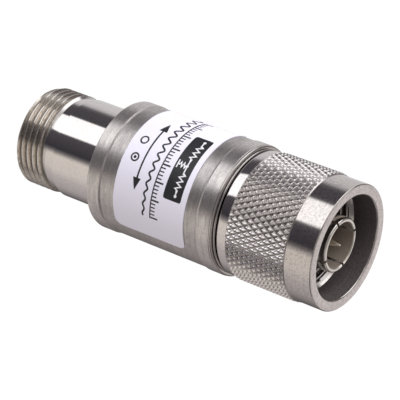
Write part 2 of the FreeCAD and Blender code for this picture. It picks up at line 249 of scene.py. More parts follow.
@labelled
class FinishColours(bpy.types.PropertyGroup):
    """Colours and gloss of the finishes"""

    satin_steel: colour(0.62, 0.583, 0.577, "the body tube")
    polished_steel: colour(0.7, 0.667, 0.66, "the shells")
    bright_steel: colour(0.77, 0.73, 0.727, "the knurled grip")
    # Painted shade: darker steel for the flange and the hub in the narrow gap between the tube and the nut.
    gap_steel: colour(0.52, 0.49, 0.48, "the flange and the hub beside the nut")
    worn_steel: colour(0.68, 0.625, 0.565, "the worn thread")
    # Painted shade: a dark colour for the inside of the nut, whose mouth wall and thread grooves lie in shade.
    dark_steel: colour(0.19, 0.165, 0.165, "the nut's inside")
    tarnish: colour(0.42, 0.36, 0.31, "the ferrule's inside")
    nut_steel: colour(0.68, 0.642, 0.644, "the coupling nut")
    stained_steel: colour(0.58, 0.545, 0.533, "the nut's front band")
    plated_bronze: colour(0.8, 0.775, 0.74, "the slotted ferrule")
    gold_plate: colour(0.93, 0.87, 0.75, "the centre contacts")
    plain_brass: colour(0.78, 0.64, 0.36, "the rings and holders inside")
    spring_bronze: colour(0.72, 0.52, 0.36, "the springs")
    label_film: colour(0.9, 0.875, 1.0, "the label")
    ink: colour(0.012, 0.012, 0.016, "the print")
    bead_plastic: colour(0.3, 0.22, 0.16, "the beads")
    gasket_rubber: colour(0.45, 0.2, 0.14, "the gasket")
    card_ceramic: colour(0.9, 0.89, 0.86, "the card")
    card_film: colour(0.05, 0.05, 0.055, "the resistive film on the card")
    # This colour also paints the shade in the grooves of the thread and the knurl.
    grime: colour(0.2, 0.185, 0.17, "the dirt in grooves and corners")
    polish: share(0.07, "Roughness of the polished steel")
    satin: share(0.3, "Roughness of the satin steel")


@labelled
class StudioLook(bpy.types.PropertyGroup):
    """Camera, lamps and surround"""

    eye: spot(0.0, -0.25092, 0.18122, "Where the camera stands")
    target: spot(0.001089, 0.0, 0.030385, "What the camera looks at")
    roll: angle(110.89, "Turn of the camera about its line of sight")
    lens: number(175.7, "Focal length in millimetres on a 36 mm sensor")
    surround: share(1.0, "Strength of the studio surround")
    key: number(1.1, "Power of the key lamp", unit="POWER")
    fill: number(0.35, "Power of the fill lamp", unit="POWER")
    floor: share(0.1, "How much of the floor's look comes from light and shadow")


def chosen(name):
    """The values of a property group: lengths in millimetres, colours as tuples, the rest as they are."""
    group = getattr(bpy.context.scene, PREFIX + name)
    values = SimpleNamespace()
    for identifier in type(group).__annotations__:
        value, prop = getattr(group, identifier), group.bl_rna.properties[identifier]
        if prop.is_array:
            value = tuple(value)
        elif prop.unit == "LENGTH":
            value /= MM
        setattr(values, identifier, value)
    return values


def heights(node):
    """Lowest and highest point of a CAD node at rest, in millimetres."""
    low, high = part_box(node)
    return low.z / MM, high.z / MM


# Meshes, with all lengths in millimetres

MERGE = 0.0005  # Points that are nearer than this become one.
SHORTEST = 0.0001  # Edges that are shorter than this are dissolved.
SHARP = 32.0  # An edge is sharp when its faces meet at more than these degrees.
PRINT_SHARP = 50.0  # The same for the label and its print, which are bent in coarser steps.
SAW = 40.0  # Length of a saw blade, longer than any piece is wide.
BROKEN = 0.05  # Round of an edge that is only broken.


def rounded(corners, steps=5):
    """The points of a section from its (r, z) corners; a third number rounds that corner with an arc."""
    section = []
    for index, corner in enumerate(corners):
        here = Vector(corner[:2])
        if len(corner) == 2:
            section.append(tuple(here))
            continue
        before = (Vector(corners[index - 1][:2]) - here).normalized()
        after = (Vector(corners[(index + 1) % len(corners)][:2]) - here).normalized()
        half = before.angle(after) / 2
        centre = here + (before + after).normalized() * corner[2] / math.sin(half)
        start = here + before * corner[2] / math.tan(half) - centre
        end = here + after * corner[2] / math.tan(half) - centre
        sweep = start.angle(end)
        for step in range(steps + 1):
            at = step / steps
            spoke = start * math.sin((1 - at) * sweep) + end * math.sin(at * sweep)
            section.append(tuple(centre + spoke / math.sin(sweep)))
    return section


def mesh_from(name, points, faces, flat=(), sharp=SHARP):
    """A clean closed mesh: near points are merged, normals face outwards and sharp edges are marked."""
    mesh = bpy.data.meshes.new(name)
    mesh.from_pydata([Vector(point) * MM for point in points], [], faces)
    smooth = [True] * len(faces)
    for index in flat:
        smooth[index] = False
    mesh.polygons.foreach_set("use_smooth", smooth)
    shape = bmesh.new()
    shape.from_mesh(mesh)
    bmesh.ops.remove_doubles(shape, verts=shape.verts, dist=MERGE * MM)
    bmesh.ops.dissolve_degenerate(shape, edges=shape.edges, dist=SHORTEST * MM)
    loose = [edge for edge in shape.edges if not edge.link_faces]
    bmesh.ops.delete(shape, geom=loose, context="EDGES")
    bmesh.ops.recalc_face_normals(shape, faces=shape.faces)
    shape.to_mesh(mesh)
    shape.free()
    mesh.set_sharp_from_angle(angle=math.radians(sharp))
    return mesh


def skin(name, sections, helical=False, folded=()):
    """A closed skin over one section per column about the axis, each a list of (r, z).

    With helical, the last section lies on the first one, a pitch further on. Rows in folded are split into
    triangles along the lower diagonal, which keeps the bottoms of crossing grooves sharp.
    """
    steps = len(sections) - 1 if helical else len(sections)
    rows = len(sections[0])
    points = []
    for column, section in enumerate(sections):
        cosine, sine = math.cos(FULL_TURN * column / steps), math.sin(FULL_TURN * column / steps)
        points += [(r * cosine, r * sine, z) for r, z in section]
    faces, flat = [], []
    folded = set(folded)
    for column in range(steps):
        beside = column + 1 if helical else (column + 1) % steps
        for row in range(rows):
            above = (row + 1) % rows
            a, b = column * rows + row, beside * rows + row
            c, d = beside * rows + above, column * rows + above
            if row not in folded:
                faces.append((a, b, c, d))
                continue
            flat += [len(faces), len(faces) + 1]
            near, far = sections[column], sections[beside]
            if near[row][0] + far[above][0] < far[row][0] + near[above][0]:
                faces += [(a, b, c), (a, c, d)]
            else:
                faces += [(a, b, d), (b, c, d)]
    return mesh_from(name, points, faces, flat)


def turned(name, corners, columns=192):
    """A turned piece from the corners of its section."""
    return skin(name, [rounded(corners)] * columns)


# One pitch of a thread from root to root: how far along, and the depth there, 0 at the crest and 1 at the root.
THREAD_FORM = ((0.0, 1.0), (0.1, 1.0), (0.145, 0.92), (0.29, 0.5), (0.43, 0.06), (0.455, 0.0), (0.545, 0.0),
               (0.57, 0.06), (0.71, 0.5), (0.855, 0.92), (0.9, 1.0))


def thread_rows(turn, low, high, pitch, surface):
    """The (r, z) points of a helical thread at one turn about the axis, from low to high.

    surface gives the radius from the depth, which is 0 at a crest and 1 at a root, and from the height.
    """
    form = THREAD_FORM + ((1.0, THREAD_FORM[0][1]),)

    def depth(z):
        phase = ((z - low) / pitch - turn) % 1.0
        for (before, start), (after, end) in zip(form, form[1:]):
            if phase <= after:
                return start + (end - start) * (phase - before) / (after - before)
        return form[-1][1]

    rows = []
    for lap in range(-1, math.ceil((high - low) / pitch) + 1):
        for phase, value in THREAD_FORM:
            z = low + (lap + phase + turn) * pitch
            held = min(max(z, low), high)
            rows.append((surface(value if held == z else depth(held), held), held))
    return rows


def saw_cuts(mesh, width, low, high, turns):
    """The mesh with slots of one width sawn right across it, from one height to another."""
    scene = bpy.context.scene
    work = bpy.data.objects.new("work", mesh)
    scene.collection.objects.link(work)
    blades = []
    for turn in turns:
        shape = bmesh.new()
        bmesh.ops.create_cube(shape, size=1.0)
        place = Matrix.Translation((0, 0, (low + high) / 2 * MM)) @ Matrix.Rotation(turn, 4, "Z")
        reach = Matrix.Diagonal((SAW * MM, width * MM, (high - low) * MM, 1))
        bmesh.ops.transform(shape, matrix=place @ reach, verts=shape.verts)
        blade = bpy.data.objects.new("blade", bpy.data.meshes.new("blade"))
        shape.to_mesh(blade.data)
        shape.free()
        scene.collection.objects.link(blade)
        cut = work.modifiers.new("cut", "BOOLEAN")
        cut.operation, cut.solver, cut.object = "DIFFERENCE", "EXACT", blade
        blades.append(blade)
    result = bpy.data.meshes.new_from_object(work.evaluated_get(bpy.context.evaluated_depsgraph_get()))
    name = mesh.name
    for spare in [work, *blades]:
        bpy.data.meshes.remove(spare.data)
    result.name = name
    result.set_sharp_from_angle(angle=math.radians(SHARP))
    return result


def add_piece(mesh, finish, body, slot, *nodes):
    """Put a mesh in the scene as a piece that rides on a body and stands for CAD nodes."""
    piece = bpy.data.objects.new(mesh.name, mesh)
    bpy.context.scene.collection.objects.link(piece)
    if not mesh.materials:
        mesh.materials.append(finish)
    normals = piece.modifiers.new("normals", "WEIGHTED_NORMAL")
    normals.keep_sharp = True
    normals.weight = 100
    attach(piece, body)
    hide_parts(*nodes)


# Shading, with all places in millimetres

WHITE = (1.0, 1.0, 1.0, 1.0)
ZONE_EDGE = 0.02  # Half the width of the change at a zone's ends.


def sum_of(operation):
    """A method of Field that adds a Math node with this operation."""
    return lambda field, other: field.math(operation, other)


class Field:
    """A node's output that takes part in Python sums; each sum adds its Math node."""

    __add__ = __radd__ = sum_of("ADD")
    __sub__ = sum_of("SUBTRACT")
    __mul__ = __rmul__ = sum_of("MULTIPLY")
    __truediv__ = sum_of("DIVIDE")
    __pow__ = sum_of("POWER")

    def __init__(self, nodes, socket):
        self.nodes = nodes
        self.socket = socket

    def math(self, operation, *values):
        """A Math node on this output and other values."""
        return self.nodes.add("ShaderNodeMath", {"operation": operation}, dict(enumerate((self,) + values)))

    def __rsub__(self, other):
        return -self + other

    def __neg__(self):
        return self * -1.0

    def step(self, start, end):
        """0 below start and 1 above end, with a smooth change between them."""
        return self.nodes.add("ShaderNodeMapRange", {"interpolation_type": "SMOOTHSTEP"},
                              {"Value": self, "From Min": start, "From Max": end})


class Nodes:
    """The node tree of a material or of the world."""

    def __init__(self, tree):
        self.tree = tree
        tree.nodes.clear()

    def add(self, kind, settings=None, values=None, output=0):
        """A new node: its settings come first, then the values or links of its sockets."""
        node = self.tree.nodes.new(kind)
        for name, value in (settings or {}).items():
            if name == "stops":
                ramp = node.color_ramp.elements
                while len(ramp) > 1:
                    ramp.remove(ramp[-1])
                ramp[0].position, ramp[0].color = value[0]
                for place, shade in value[1:]:
                    ramp.new(place).color = shade
            else:
                setattr(node, name, value)
        for name, value in (values or {}).items():
            if isinstance(value, Field):
                self.tree.links.new(value.socket, node.inputs[name])
            else:
                node.inputs[name].default_value = value
        return Field(self, node.outputs[output]) if node.outputs else None

    def blend(self, share_of_second, first, second):
        """A mix of two colours."""
        first, second = [(*c, 1.0) if isinstance(c, (tuple, list)) else c for c in (first, second)]
        return self.add("ShaderNodeMix", {"data_type": "RGBA"}, {0: share_of_second, 6: first, 7: second}, 2)

    def place(self, unit=MM):
        """The point on the piece: its x, y and z in a unit of so many metres."""
        whole = self.add("ShaderNodeTexCoord", output="Object")
        self.axes = [self.add("ShaderNodeSeparateXYZ", values={0: whole}, output=axis) / unit for axis in range(3)]
        return self.axes

    def radius(self):
        """The distance of that point from the axis."""
        x, y, _ = self.axes
        return (x * x + y * y) ** 0.5

    def noise(self, x, y, z, detail=2.0, roughness=0.5):
        """A noise from 0 to 1 over three coordinates."""
        point = self.add("ShaderNodeCombineXYZ", values={0: x, 1: y, 2: z})
        return self.add("ShaderNodeTexNoise", values={"Vector": point, "Scale": 1.0, "Detail": detail,
                                                      "Roughness": roughness})

    def even_noise(self, fineness, detail=2.0, roughness=0.5):
        """A noise over that point which is as fine along all three axes."""
        return self.noise(*(axis * fineness for axis in self.axes), detail, roughness)

    def zone(self, z, low, high):
        """1 between two values and 0 elsewhere."""
        return z.step(low - ZONE_EDGE, low + ZONE_EDGE) * (1 - z.step(high - ZONE_EDGE, high + ZONE_EDGE))

    def bump(self, height, micrometres):
        """A normal from a height field of a given depth."""
        return self.add("ShaderNodeBump", values={"Height": height, "Strength": 1.0,
                                                  "Distance": micrometres * 1e-6})

    def rays(self, *kinds):
        """1 for rays of these kinds and 0 for all others."""
        found = [self.add("ShaderNodeLightPath", output=kind) for kind in kinds]
        seen = found[0]
        for other in found[1:]:
            seen = seen.math("MAXIMUM", other)
        return seen

    def surface(self, **values):
        """The finish itself, on the material's output."""
        shader = self.add("ShaderNodeBsdfPrincipled", values={n.replace("_", " "): v for n, v in values.items()})
        self.show(shader)

    def glow(self, kind, shade, strength):
        """An Emission or Background node."""
        return self.add("ShaderNode" + kind, values={"Color": shade, "Strength": strength})

    def show(self, shader, output="Material"):
        """Link the last shader to the tree's output."""
        self.add("ShaderNodeOutput" + output, values={"Surface": shader})


def new_finish(name):
    """A new material and its node tree."""
    finish = bpy.data.materials.new(name)
    finish.use_nodes = True
    return finish, Nodes(finish.node_tree)


def scaled(tint, factor):
    """A colour times a factor."""
    return tuple(part * factor for part in tint)


# A part of a turned surface, between two heights and two radii, with its own gloss, colour, share of bare metal,
# share of specks and unevenness. The range WHOLE leaves nothing out.
WHOLE = (-1.0, 99.0)
Patch = namedtuple("Patch", "gloss tint metal heights radii specks uneven", defaults=(1.0, WHOLE, WHOLE, 0.15, 0.05))

# Dirt and painted shade in grooves of one depth below a crest radius, between two heights, and how much of it there
# is.
Grime = namedtuple("Grime", "crest depth low high share")


def turned_metal(name, tint, gloss, line_depth, smudge=0.05, specks=0.15, grime=None, patches=()):
    """Metal finished on a lathe: fine lines round the axis, faint smudges, small dull marks and dark specks."""
    finish, nodes = new_finish(name)
    look = chosen("finish")
    x, y, z = nodes.place()
    r = nodes.radius()
    lines = nodes.noise(x * 0.12, y * 0.12, (z + r) * 9.0, 3.0, 0.6)
    cloud = nodes.even_noise(0.35, 4.0, 0.55)
    marks = nodes.even_noise(2.1, 5.0, 0.7).step(0.62, 0.74)
    rough = gloss + (lines - 0.5) * (gloss * 0.5) + (cloud - 0.4) * smudge + marks * (smudge * 0.6)
    base = nodes.blend((cloud - 0.5) * 0.8 + 0.35, tint, scaled(tint, 0.86))
    metal = 1.0
    grain = (nodes.even_noise(3.2, 5.0, 0.65) * 0.65 + lines * 0.35).step(0.36, 0.64)
    for patch in patches:
        mask = nodes.zone(z, *patch.heights) * nodes.zone(r, *patch.radii)
        pale, deep = scaled(patch.tint, 1 + patch.uneven), scaled(patch.tint, 1 - patch.uneven)
        rough = rough + mask * (patch.gloss - rough)
        base = nodes.blend(mask, base, nodes.blend(grain, pale, deep))
        metal = metal + mask * (patch.metal - metal)
        specks = specks + mask * (patch.specks - specks)
    spots = nodes.even_noise(2.6, 6.0, 0.8).step(0.5, 0.64) + marks * 0.5
    base = nodes.blend(spots * specks, base, look.grime)
    # Grooves get darker deeper below the crest: partly dirt, partly painted shade.
    if grime:
        dirt_and_shade = (grime.crest - r).step(grime.depth * 0.25, grime.depth * 0.9) * nodes.zone(z, grime.low, grime.high)
        dirt_and_shade = dirt_and_shade * (0.55 + cloud * 0.9) * grime.share
        base = nodes.blend(dirt_and_shade, base, look.grime)
        rough = rough + dirt_and_shade * 0.35
    nodes.surface(Base_Color=base, Metallic=metal, Roughness=rough, Normal=nodes.bump(lines, line_depth))
    return finish


def blasted_metal(name, tint, gloss, recess_low, recess_high):
    """Satin metal: a fine even grain over faint lines round the axis, duller and darker in the recess."""
    finish, nodes = new_finish(name)
    x, y, z = nodes.place()
    r = nodes.radius()
    grain = nodes.even_noise(5.0, 4.0, 0.65)
    cloud = nodes.even_noise(0.4, 4.0, 0.6)
    lines = nodes.noise(x * 0.2, y * 0.2, (z + r) * 3.2, 5.0, 0.7)
    scuff = nodes.even_noise(1.4, 5.0, 0.7).step(0.6, 0.72)
    recess = nodes.zone(z, recess_low, recess_high)
    blotch = nodes.noise(x * 1.1, y * 1.1, z * 1.6, 4.0, 0.6)
    shade = recess * 0.13 + (cloud - 0.4) * 0.3 + (blotch - 0.5) * 0.35
    shade = shade + (grain - 0.4) * 0.6 + (lines - 0.5) * 0.8
    base = nodes.blend(shade + 0.06, tint, (0.0, 0.0, 0.0))
    rough = gloss + recess * 0.06 + (grain - 0.5) * 0.2 + (cloud - 0.5) * 0.12 + (lines - 0.5) * 0.2 + scuff * 0.06
    metal = 0.91  # The grain scatters a little white light, as bare metal doesn't.
    bump = nodes.bump(grain * 1.5 + lines * 1.5, 2.4)
    nodes.surface(Base_Color=base, Metallic=metal, Roughness=rough, Normal=bump)
    return finish


def gold_metal(name, tint, gloss):
    """Plated contact metal with fine lines round the axis and a few dull spots."""
    return turned_metal(name, tint, gloss, line_depth=0.8, smudge=0.08)


def film_finish():
    """White printed film with a slight waviness and faint handling marks."""
    finish, nodes = new_finish("label_film")
    look = chosen("finish")
    nodes.place()
    cloud = nodes.even_noise(0.25, 3.0)
    fibre = nodes.even_noise(6.0, 3.0, 0.6)
    specks = nodes.even_noise(3.3, 4.0, 0.65).step(0.7, 0.78)
    base = nodes.blend(cloud * 0.25 + specks * 0.25, look.label_film, scaled(look.label_film, 0.86))
    nodes.surface(Base_Color=base, Roughness=0.38 + (cloud - 0.5) * 0.12 + specks * 0.15,
                  Normal=nodes.bump(fibre + cloud * 4.0, 2.5))
    return finish


def ink_finish():
    """Black print with a faint unevenness."""
    finish, nodes = new_finish("label_ink")
    look = chosen("finish")
    nodes.place()
    grain = nodes.even_noise(9.0, 3.0, 0.6)
    base = nodes.blend(grain.step(0.55, 0.8) * 0.5, look.ink, tuple(c + 0.035 for c in look.ink))
    nodes.surface(Base_Color=base, Roughness=0.42 + grain * 0.12, Normal=nodes.bump(grain, 1.5))
    return finish


def moulded_finish(name, tint, gloss, grain_size):
    """Plain moulded plastic or rubber with a fine grain and a slight change of tone."""
    finish, nodes = new_finish(name)
    nodes.place()
    grain = nodes.even_noise(grain_size, 4.0, 0.6)
    cloud = nodes.even_noise(0.8, 2.0)
    base = nodes.blend(cloud * 0.6, tint, scaled(tint, 0.7))
    nodes.surface(Base_Color=base, Roughness=gloss + (grain - 0.5) * 0.2, Normal=nodes.bump(grain, 6.0))
    return finish


def card_finish():
    """Fired ceramic with a dark film between its bare ends and edges."""
    finish, nodes = new_finish("card_ceramic")
    look = chosen("finish")
    x, _, z = nodes.place()
    low, high = heights("attenuator_card")
    grain = nodes.even_noise(8.0, 3.0)
    bare, edge, half_width = 2.0, 0.05, 2.4
    film = z.step(low + bare, low + bare + edge) * (1 - z.step(high - bare - edge, high - bare))
    film = film * (1 - x.math("ABSOLUTE").step(half_width, half_width + edge))
    base = nodes.blend(film, look.card_ceramic, look.card_film)
    nodes.surface(Base_Color=base, Roughness=0.5 - film * 0.1 + grain * 0.1, Normal=nodes.bump(grain, 4.0))
    return finish


# Pieces

class BodyTube(bpy.types.Operator):
    """Turn the body tube with its raised bands"""

    bl_idname = "attenuator.body_tube"
    bl_label = "Body tube"

    def execute(self, context):
        tube = chosen("tube")
        look = chosen("finish")
        low, high = heights("body_tube")
        wall = tube.band - tube.recess
        mesh = turned("body_tube_turned", [
            (tube.bore, low), (tube.band, low, tube.edge), (tube.band, low + tube.band_length, 0.06),
            (wall, low + tube.band_length + tube.ramp, 0.06), (wall, high - tube.band_length - tube.ramp, 0.06),
            (tube.band, high - tube.band_length, 0.06), (tube.band, high, tube.edge), (tube.bore, high),
        ], columns=256)
        finish = blasted_metal("satin_steel", look.satin_steel, look.satin,
                               low + tube.band_length + tube.ramp / 2, high - tube.band_length - tube.ramp / 2)
        add_piece(mesh, finish, "body", "satin_steel", "body_tube")
        return {"FINISHED"}


class WrapLabel(bpy.types.Operator):
    """Wrap the label round the tube and print it"""

    bl_idname = "attenuator.wrap_label"
    bl_label = "Label"

    def execute(self, context):
        tube = chosen("tube")
        label = chosen("label")
        low, high = heights("label")
        inner = tube.band - tube.recess + label.glue
        outer = inner + label.film
        ink_top = outer + label.ink
        light_top = outer + 1.8 * label.ink
        half = label.wrap / 2 * outer
        sheet = [bar(-half, half, low, high, label.corner, step=0.25)]
        mesh = wrapped("label_film_sheet", sheet, inner, outer, label.centre)
        add_piece(mesh, film_finish(), "body", "label_film", "label")
        dark, light = label_print(low, high, label.stroke)
        mesh = wrapped("label_print_dark", dark, outer, ink_top, label.centre)
        add_piece(mesh, ink_finish(), "body", "label_film")
        mesh = wrapped("label_print_light", light, ink_top, light_top, label.centre)
        add_piece(mesh, bpy.data.materials["label_film"], "body", "label_film")
        return {"FINISHED"}


def bar(start, end, low, high, corner, step=0.5, turns=8):
    """A flat bar with rounded corners, as pairs of points across it: (along, height) below and above."""
    pairs = []
    for index in range(turns + 1):
        lean = math.pi / 2 * index / turns
        inset = corner * (1 - math.sin(lean))
        pairs.append((start + corner * (1 - math.cos(lean)), inset))
    count = max(1, math.ceil((end - start - 2 * corner) / step))
    middle = [(start + corner + (end - start - 2 * corner) * index / count, 0.0) for index in range(1, count)]
    mirrored = [(start + end - along, inset) for along, inset in reversed(pairs)]
    return [((along, low + inset), (along, high - inset)) for along, inset in pairs + middle + mirrored]


def disc(along, height, radius):
    """A filled circle."""
    return bar(along - radius, along + radius, height - radius, height + radius, radius)


def stroke(points, width, step=0.5):
    """A line of one width through points, as pairs of points across it, divided so that it can be bent."""
    fine = [Vector(points[0])]
    for start, end in zip(points, points[1:]):
        start, end = Vector(start), Vector(end)
        count = max(1, math.ceil((end - start).length / step))
        fine += [start.lerp(end, index / count) for index in range(1, count + 1)]
    pairs = []
    for index, here in enumerate(fine):
        before = (here - fine[index - 1]).normalized() if index else (fine[1] - here).normalized()
        after = (fine[index + 1] - here).normalized() if index + 1 < len(fine) else before
        across = Vector((-(before + after).y, (before + after).x)).normalized()
        reach = width / 2 / max(0.5, across.dot(Vector((-before.y, before.x))))
        pairs.append((tuple(here - across * reach), tuple(here + across * reach)))
    return pairs


def circle(along, height, radius, width, steps=24):
    """A round line."""
    turns = [FULL_TURN * step / steps for step in range(steps + 1)]
    pairs = stroke([(along + radius * math.cos(turn), height + radius * math.sin(turn)) for turn in turns], width)
    pairs[0] = pairs[-1] = ((along + radius + width / 2, height), (along + radius - width / 2, height))
    return pairs


def zigzag(start, end, swing, teeth=3):
    """The corners of a resistor's zigzag from one point to another."""
    start, end = Vector(start), Vector(end)
    along = (end - start) / (4 * teeth)
    across = Vector((-along.y, along.x)).normalized() * swing
    corners = [start]
    for index in range(2 * teeth):
        corners.append(start + along * (2 * index + 1) + across * (1 if index % 2 == 0 else -1))
    return [tuple(corner) for corner in corners + [end]]


def label_print(low, high, width):
    """The generic print: a resistor network on a dark block, a scale, a fading wave and plain signs."""
    # The block with its light lines: two resistors in a row and one across, with dots where they meet.
    left, middle, right = -4.6, 0.15, 4.9
    top = high - 0.95
    line = top - 1.15
    light = [
        stroke([(left, line), (-3.7, line), *zigzag((-3.7, line), (-1.1, line), 0.45), (-1.1, line),
                (1.4, line), *zigzag((1.4, line), (4.0, line), 0.45), (4.0, line), (right, line)], width * 0.8),
        stroke([(middle, line), (middle, line - 0.25),
                *zigzag((middle, line - 0.25), (middle, line - 1.3), 0.42, teeth=2),
                (middle, line - 1.3), (middle, line - 1.6)], width * 0.7),
        stroke([(middle - 0.65, line - 1.65), (middle + 0.65, line - 1.65)], width * 0.8),
        disc(middle, line, 0.22), disc(left, line, 0.24), disc(right, line, 0.24),
    ]
    dark = [bar(-5.4, 5.7, top - 3.2, top, corner=0.35)]

    # The scale, on which every fifth mark is long.
    scale, first, last, gaps = low + 6.95, -10.3, 9.6, 35
    dark.append(stroke([(first, scale), (last, scale)], width * 0.8))
    for index in range(gaps + 1):
        along = first + width / 2 + index * (last - first - width) / gaps
        rise, weight = (0.85, 0.75) if index % 5 else (1.4, 1.0)
        dark.append(stroke([(along, scale), (along, scale + rise)], width * weight))

    # The wave, which fades to a fifth of its first swing.
    axis, start, reach, waves, steps = low + 5.7, -10.6, 20.2, 13, 240
    wave = []
    for index in range(steps + 1):
        at = index / steps
        swing = 0.62 * (1 - 0.8 * at)
        wave.append((start + reach * at, axis + swing * math.sin(at * waves * FULL_TURN)))
    dark.append(stroke(wave, width * 1.15))

    # The arrow with a head at each end, and under it two rings, one of them with a dot.
    arrow = low + 3.65
    dark.append(stroke([(left, arrow), (right, arrow)], width * 1.1))
    for tip, way in ((-5.9, 1), (6.2, -1)):
        head = [(tip + way * 1.9 * k / 4, 0.7 * k / 4) for k in range(5)]
        dark.append([((along, arrow - half), (along, arrow + half)) for along, half in head])
    sign = low + 2.0
    dark += [circle(-1.5, sign, 0.6, width), circle(1.5, sign, 0.6, width), disc(1.5, sign, 0.25)]
    return dark, light


def wrapped(name, ribbons, inner, outer, centre):
    """Thin closed sheets bent round the axis, each from its pairs of points across it."""
    points, faces = [], []
    for ribbon in ribbons:
        first = len(points)
        for pair in ribbon:
            for (along, height), radius in zip((pair[0], pair[0], pair[1], pair[1]),
                                               (inner, outer, outer, inner)):
                turn = centre + along / outer
                points.append((radius * math.sin(turn), -radius * math.cos(turn), height))
        for index in range(len(ribbon) - 1):
            a = first + 4 * index
            faces += [(a + k, a + (k + 1) % 4, a + 4 + (k + 1) % 4, a + 4 + k) for k in range(4)]
        last = first + 4 * (len(ribbon) - 1)
        if ribbon[0] != ribbon[-1]:
            faces += [(first, first + 3, first + 2, first + 1), (last, last + 1, last + 2, last + 3)]
    return mesh_from(name, points, faces, sharp=PRINT_SHARP)


class JackShell(bpy.types.Operator):
    """Turn the jack shell, cut its thread and bore it"""

    bl_idname = "attenuator.jack_shell"
    bl_label = "Jack shell"

    def execute(self, context):
        jack = chosen("jack")
        look = chosen("finish")
        low, high = heights("jack_shell")
        tube_low, _ = heights("body_tube")
        relief = jack.thread - jack.relief_depth
        relief_low = low + jack.thread_length + jack.relief_ramp / 2
        neck_low = low + jack.thread_length + jack.relief_length
        thread_end = relief_low - jack.relief_ramp

        def surface(depth, z):
            chamfer = jack.thread - jack.thread_chamfer + (z - low)
            return min(jack.thread - depth * jack.thread_depth, chamfer)

        bore = rounded([(jack.line, jack.pocket_depth), (jack.line, jack.plane), (jack.seat, jack.plane),
                        (jack.seat, jack.mouth_length + jack.seat_taper), (jack.mouth, jack.mouth_length),
                        (jack.mouth, jack.mouth_chamfer), (jack.mouth + jack.mouth_chamfer, low)])
        neck = rounded([(relief, relief_low), (relief, neck_low), (jack.neck - jack.neck_edge, neck_low),
                        (jack.neck, neck_low + jack.neck_edge), (jack.neck, tube_low), (jack.spigot, tube_low),
                        (jack.spigot, high), (jack.pocket, high), (jack.pocket, jack.pocket_depth)])
        columns = 256
        sections = [bore + thread_rows(column / columns, low, thread_end, jack.pitch, surface) + neck
                    for column in range(columns + 1)]
        mesh = skin("jack_shell_threaded", sections, helical=True)
        worn = Patch(0.15, look.worn_steel, heights=(low + 0.2, thread_end - 0.1),
                     radii=(jack.seat + 1.0, jack.thread - 0.05), specks=0.5, uneven=0.25)
        # The grime darkens the thread's grooves: dirt and painted shade.
        finish = turned_metal("polished_steel", look.polished_steel, look.polish, line_depth=0.5, smudge=0.03,
                              specks=0.2, grime=Grime(jack.thread, jack.thread_depth, low, relief_low, 0.6),
                              patches=[worn])
        add_piece(mesh, finish, "body", "polished_steel", "jack_shell")
        return {"FINISHED"}


class Contacts(bpy.types.Operator):
    """Make the slotted socket and the pointed pin"""

    bl_idname = "attenuator.contacts"
    bl_label = "Centre contacts"

    def execute(self, context):
        part = chosen("contacts")
        look = chosen("finish")
        finish = gold_metal("gold_plate", look.gold_plate, 0.24)
        low, high = heights("jack_contact")
        mesh = turned("socket_contact", [
            (part.hole, low, 0.2), (part.body, low, part.chamfer), (part.body, part.socket_foot, BROKEN),
            (part.stud, part.socket_foot), (part.stud, high, part.chamfer), (0.0, high),
            (0.0, low + part.hole_depth + part.hole), (part.hole, low + part.hole_depth),
        ], columns=96)
        mesh = saw_cuts(mesh, part.slot_width, low - 1.0, low + part.slot_depth,
                        (math.radians(45.0), math.radians(135.0)))
        add_piece(mesh, finish, "body", "gold_plate", "jack_contact")
        low, high = heights("plug_pin")
        mesh = turned("pin_contact", [
            (0.0, low), (part.stud, low, part.chamfer), (part.stud, part.pin_foot),
            (part.body, part.pin_foot, BROKEN), (part.body, part.pin_shoulder, 0.12),
            (part.pin, part.pin_shoulder), (part.pin, high - part.pin_cone, 0.5), (part.pin_tip, high, BROKEN),
            (0.0, high),
        ], columns=96)
        add_piece(mesh, finish, "body", "gold_plate", "plug_pin")
        return {"FINISHED"}


class PlugShell(bpy.types.Operator):
    """Turn the plug shell with its flange, fine groove, hub and journal"""

    bl_idname = "attenuator.plug_shell"
    bl_label = "Plug shell"

    def execute(self, context):
        plug = chosen("plug")
        jack = chosen("jack")
        ferrule = chosen("ferrule")
        look = chosen("finish")
        low, high = heights("plug_shell")
        _, tube_high = heights("body_tube")
        ferrule_low, _ = heights("plug_ferrule")
        _, bead_high = heights("plug_bead")
        flange_high = tube_high + plug.flange_length
        groove_high = flange_high + plug.groove_width
        hub_high = tube_high + plug.hub_top
        hole = ferrule.root + 0.02
        mesh = turned("plug_shell_turned", [
            (jack.pocket, low), (jack.spigot, low), (jack.spigot, tube_high), (plug.flange, tube_high, BROKEN),
            (plug.flange, flange_high, plug.flange_chamfer), (plug.groove, flange_high),
            (plug.groove, groove_high), (plug.hub, groove_high, 0.03), (plug.hub, hub_high, plug.hub_chamfer),
            (plug.journal, hub_high), (plug.journal, plug.ring_low), (plug.ring_floor, plug.ring_low),
            (plug.ring_floor, plug.ring_high), (plug.journal, plug.ring_high), (plug.journal, high, 0.15),
            (hole, high), (hole, ferrule_low), (jack.line, ferrule_low), (jack.line, bead_high),
            (jack.pocket, bead_high),
        ], columns=256)
        # The patch paints shade on the flange and the hub in the gap beside the nut.
        finish = turned_metal("shell_steel", look.polished_steel, 0.12, line_depth=0.5, smudge=0.03,
                              patches=[Patch(0.2, look.gap_steel, heights=(tube_high, hub_high + 0.1))])
        add_piece(mesh, finish, "body", "polished_steel", "plug_shell")
        return {"FINISHED"}


